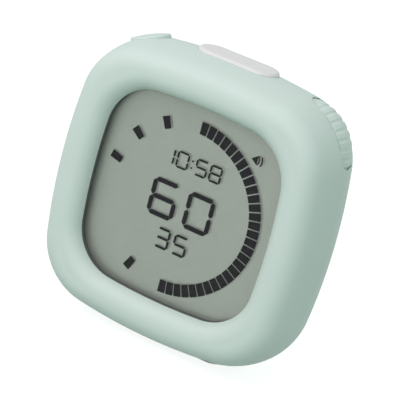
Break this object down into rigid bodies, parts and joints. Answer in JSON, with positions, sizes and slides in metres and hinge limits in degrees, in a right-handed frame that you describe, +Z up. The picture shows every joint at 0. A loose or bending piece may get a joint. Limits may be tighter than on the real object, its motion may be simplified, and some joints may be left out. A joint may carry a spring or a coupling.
{
  "type": "study timer",
  "caption": "Soft-cornered square desk timer with a segment display in a deep rounded bezel, push buttons on top, a ribbed thumb wheel at a corner and a battery door behind.",
  "frame": {"origin": "centre of the underside of the bounding box, on the plane the feet stand on", "axes": "+X to the right as seen from the display, +Y towards the back, +Z up"},
  "size_m": [0.08, 0.0324, 0.0811],
  "materials": {
    "case_plastic": "fine matte",
    "wheel_plastic": "matte",
    "white_plastic": "matte",
    "foot_rubber": "matte",
    "gasket_foam": "matte",
    "display_glass": "clear",
    "segment_dark": "matte",
    "seal_epoxy": "matte",
    "reflector_film": "diffuse silver grey",
    "holder_plastic": "matte",
    "zebra_rubber": "matte",
    "board_laminate": "solder mask",
    "screw_steel": "bright",
    "black_resin": "satin",
    "crystal_can": "bright",
    "capacitor_ceramic": "matte",
    "plunger_plastic": "matte",
    "cell_jacket": "plain printed jacket",
    "contact_plate": "nickel plated",
    "lead_insulation": "satin"
  },
  "bodies": {
    "casing": {"front_shell": "case_plastic", "rear_shell": "case_plastic", "foot_pads": "foot_rubber", "case_screws": "screw_steel", "display_gasket": "gasket_foam", "lcd_front_glass": "display_glass", "lcd_segments": "segment_dark", "lcd_seal": "seal_epoxy", "lcd_rear_glass": "display_glass", "lcd_reflector": "reflector_film", "lcd_holder": "holder_plastic", "zebra_strip": "zebra_rubber", "main_board": "board_laminate", "board_screws": "screw_steel", "controller_chip": "black_resin", "quartz_crystal": "crystal_can", "board_capacitors": "capacitor_ceramic", "buzzer": "black_resin", "start_switch": "black_resin", "mode_switch": "black_resin", "encoder_housing": "black_resin", "battery_cells": "cell_jacket", "terminal_contacts": "contact_plate", "bridge_contact": "contact_plate", "battery_leads": "lead_insulation"},
    "wheel": {"thumb_wheel": "wheel_plastic", "wheel_axle": "screw_steel", "encoder_rotor": "plunger_plastic"},
    "start_key": {"start_button": "white_plastic", "start_plunger": "plunger_plastic"},
    "mode_key": {"mode_button": "case_plastic", "mode_plunger": "plunger_plastic"},
    "door": {"battery_door": "case_plastic"}
  },
  "joints": [
    {"name": "wheel_turn", "type": "hinge", "parent": "casing", "child": "wheel", "pos_m": [0.02343, 0, 0.06393], "axis": [0, 1, 0], "continuous": true},
    {"name": "start_press", "type": "slide", "parent": "casing", "child": "start_key", "axis": [0, 0, -1], "range_m": [0, 0.0008], "stiffness_N_per_m": 1500, "springref_m": -0.0003},
    {"name": "mode_press", "type": "slide", "parent": "casing", "child": "mode_key", "axis": [0.3939, 0, -0.9191], "range_m": [0, 0.0008], "stiffness_N_per_m": 1500, "springref_m": -0.0003},
    {"name": "door_hinge", "type": "hinge", "parent": "casing", "child": "door", "pos_m": [0, 0.01441, 0.0207], "axis": [-1, 0, 0], "range_deg": [0, 90]}
  ]
}
